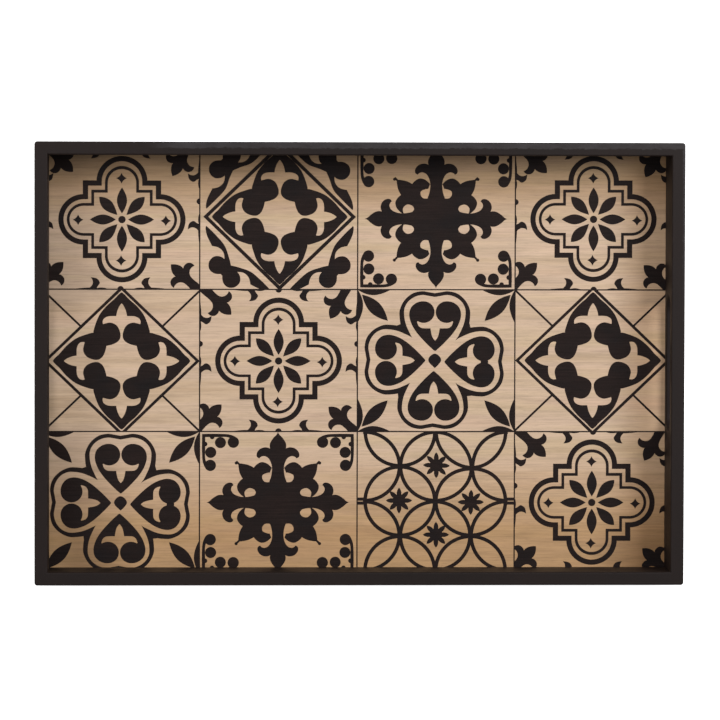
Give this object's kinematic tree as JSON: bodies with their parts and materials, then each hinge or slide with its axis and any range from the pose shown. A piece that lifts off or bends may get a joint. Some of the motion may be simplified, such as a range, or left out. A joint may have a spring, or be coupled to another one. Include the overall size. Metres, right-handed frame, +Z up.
{
  "type": "serving tray",
  "caption": "Rectangular wooden serving tray: mitred walls grooved around a flat veneered base panel, with a rounded hand-hole through each end wall, on felt pads.",
  "frame": {"origin": "centre of the footprint, on the surface that the felt pads stand on", "axes": "+X along the tray's length towards its right end wall, +Y across it towards the back wall, +Z up"},
  "size_m": [0.44, 0.3, 0.0538],
  "materials": {
    "frame_paint": "satin brown-black paint over wood",
    "face_veneer": "light wood veneer, printed with dark tile motifs, satin lacquer",
    "panel_core": "raw fibreboard",
    "back_veneer": "plain wood veneer, matt",
    "brad_steel": "bright steel wire, heads filled and painted over",
    "felt": "black needled felt"
  },
  "bodies": {
    "root": {"front_wall": "frame_paint", "back_wall": "frame_paint", "left_end_wall": "frame_paint", "right_end_wall": "frame_paint", "face_veneer": "face_veneer", "panel_core": "panel_core", "back_veneer": "back_veneer", "brad_front_left_lower": "brad_steel", "brad_front_left_upper": "brad_steel", "brad_front_right_lower": "brad_steel", "brad_front_right_upper": "brad_steel", "brad_back_left_lower": "brad_steel", "brad_back_left_upper": "brad_steel", "brad_back_right_lower": "brad_steel", "brad_back_right_upper": "brad_steel", "felt_pad_front_left": "felt", "felt_pad_front_right": "felt", "felt_pad_back_left": "felt", "felt_pad_back_right": "felt"}
  },
  "joints": []
}
